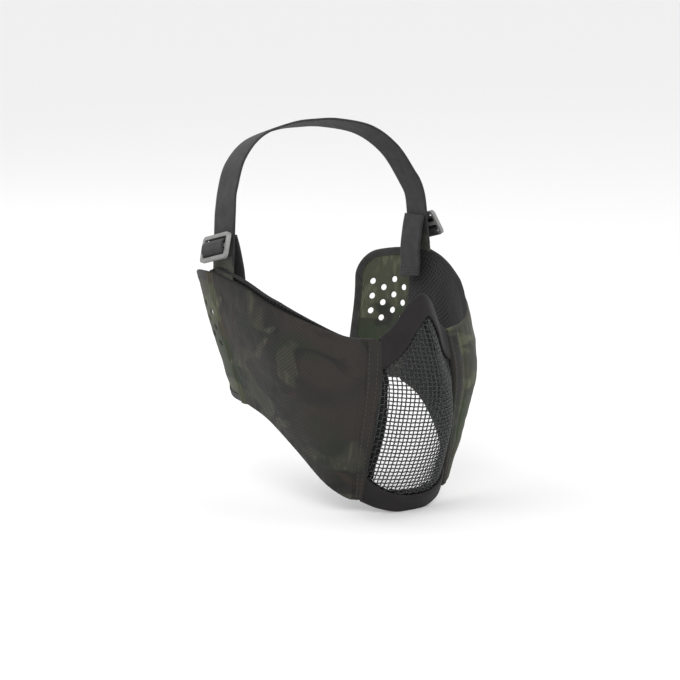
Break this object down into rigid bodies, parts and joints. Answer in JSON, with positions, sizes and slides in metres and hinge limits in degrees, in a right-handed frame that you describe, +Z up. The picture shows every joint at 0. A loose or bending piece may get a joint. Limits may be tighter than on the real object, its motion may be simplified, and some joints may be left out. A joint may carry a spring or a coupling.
{
  "type": "protective half-face mask",
  "caption": "Half-face mask with a woven steel screen over nose and mouth, padded camouflage wings with perforated ear flaps, and an elastic crown strap with sliders.",
  "frame": {"origin": "middle of the wearer's head, level with the tops of the ears, midway between the wings", "axes": "-Y is the way the face looks, +X the wearer's left, +Z up"},
  "size_m": [0.1814, 0.1943, 0.2482],
  "materials": {
    "painted_steel": "satin black",
    "neoprene": "matt black bonded neoprene",
    "camouflage": "woven nylon, dark camouflage",
    "hem_fabric": "woven nylon, folded and stitched",
    "spacer_mesh": "black spacer mesh",
    "pad_foam": "closed-cell foam",
    "webbing": "charcoal elastic webbing",
    "slider_plastic": "grey moulded acetal"
  },
  "bodies": {
    "front": {"mesh_screen": "painted_steel", "screen_edge_wire": "painted_steel", "nose_trim": "neoprene", "nose_trim_backing": "neoprene", "chin_trim": "neoprene", "chin_trim_backing": "neoprene", "chin_pad": "pad_foam", "left_nose_pad": "pad_foam", "right_nose_pad": "pad_foam", "left_seam_tape": "neoprene", "right_seam_tape": "neoprene", "crown_strap": "webbing"},
    "left_wing": {"left_shell": "camouflage", "left_front_hem": "hem_fabric", "left_foam": "pad_foam", "left_lining": "spacer_mesh", "left_strap_tail": "webbing"},
    "left_flap": {"left_ear_flap": "camouflage", "left_flap_binding": "webbing"},
    "left_slider": {"left_slider": "slider_plastic", "left_slider_turn": "webbing"},
    "right_wing": {"right_shell": "camouflage", "right_front_hem": "hem_fabric", "right_foam": "pad_foam", "right_lining": "spacer_mesh", "right_strap_tail": "webbing"},
    "right_flap": {"right_ear_flap": "camouflage", "right_flap_binding": "webbing"},
    "right_slider": {"right_slider": "slider_plastic", "right_slider_turn": "webbing"}
  },
  "joints": [
    {"name": "left_wing_fold", "type": "hinge", "parent": "front", "child": "left_wing", "pos_m": [0.03, -0.0825, -0.06425], "axis": [-0.0555, -0.1574, 0.986], "range_deg": [-20, 10], "stiffness_Nm_per_rad": 0.6, "deforming": ["crown_strap"]},
    {"name": "left_flap_fold", "type": "hinge", "parent": "left_wing", "child": "left_flap", "pos_m": [0.075, 0.02175, -0.0185], "axis": [0.1988, 0.127, 0.9718], "range_deg": [-50, 10], "stiffness_Nm_per_rad": 0.05},
    {"name": "left_slider_travel", "type": "slide", "parent": "left_wing", "child": "left_slider", "axis": [-0.0871, 0.0349, 0.9956], "range_m": [-0.006, 0.012]},
    {"name": "right_wing_fold", "type": "hinge", "parent": "front", "child": "right_wing", "pos_m": [-0.03, -0.0825, -0.06425], "axis": [-0.0555, 0.1574, -0.986], "range_deg": [-20, 10], "stiffness_Nm_per_rad": 0.6, "deforming": ["crown_strap"]},
    {"name": "right_flap_fold", "type": "hinge", "parent": "right_wing", "child": "right_flap", "pos_m": [-0.075, 0.02175, -0.0185], "axis": [0.1988, -0.127, -0.9718], "range_deg": [-50, 10], "stiffness_Nm_per_rad": 0.05},
    {"name": "right_slider_travel", "type": "slide", "parent": "right_wing", "child": "right_slider", "axis": [0.0871, 0.0349, 0.9956], "range_m": [-0.006, 0.012]}
  ]
}
